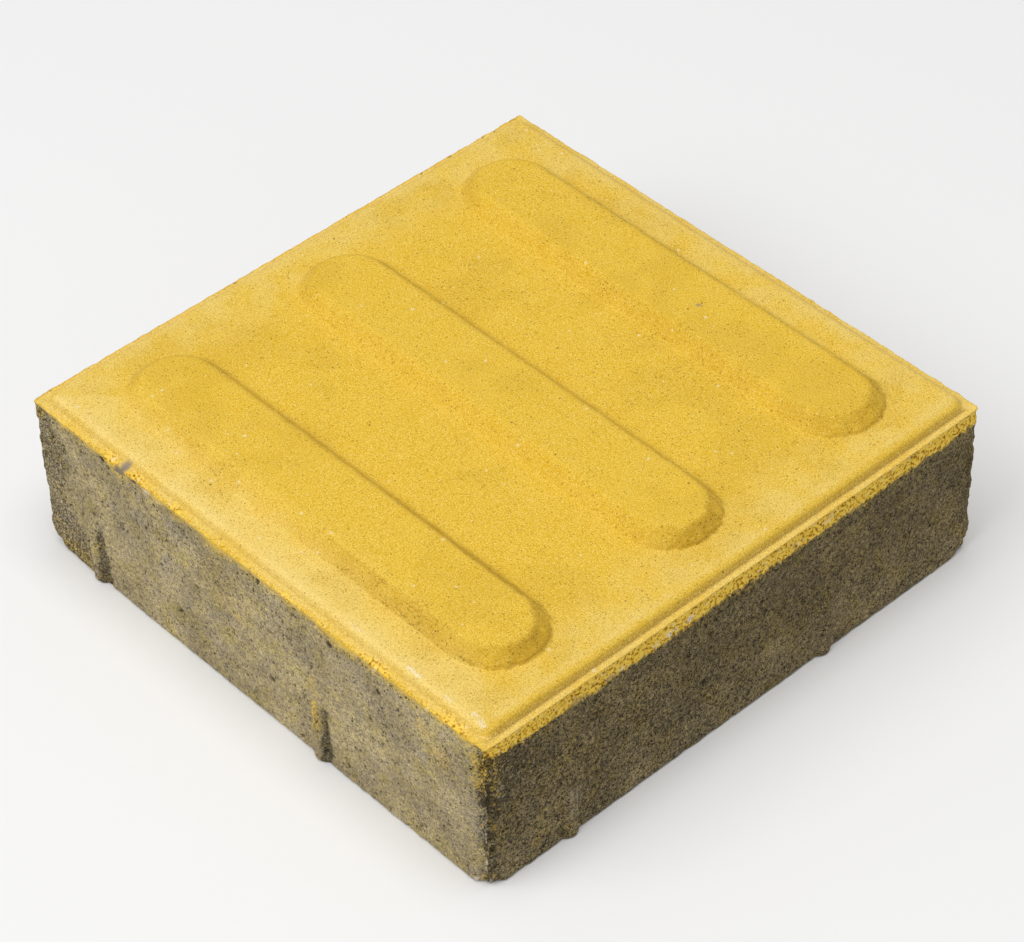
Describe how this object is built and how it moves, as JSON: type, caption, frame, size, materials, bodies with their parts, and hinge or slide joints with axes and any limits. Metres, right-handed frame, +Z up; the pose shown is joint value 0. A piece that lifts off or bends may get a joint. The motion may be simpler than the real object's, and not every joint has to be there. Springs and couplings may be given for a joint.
{
  "type": "tactile paving slab",
  "caption": "Square concrete paving slab with raised round-ended guide bars on a coloured face, bonded to a grey backing with spacer nibs.",
  "frame": {"origin": "middle of the underside", "axes": "+Z up out of the wearing face, +X along the guide bars"},
  "size_m": [0.2, 0.2, 0.0646],
  "materials": {
    "facing_concrete": "fine pressed concrete coloured yellow all through, matt, with small pits and pale grains",
    "backing_concrete": "coarse pressed concrete, grey with a yellow-olive cast, matt and pitted"
  },
  "bodies": {
    "root": {"facing_layer": "facing_concrete", "backing_layer": "backing_concrete"}
  },
  "joints": []
}
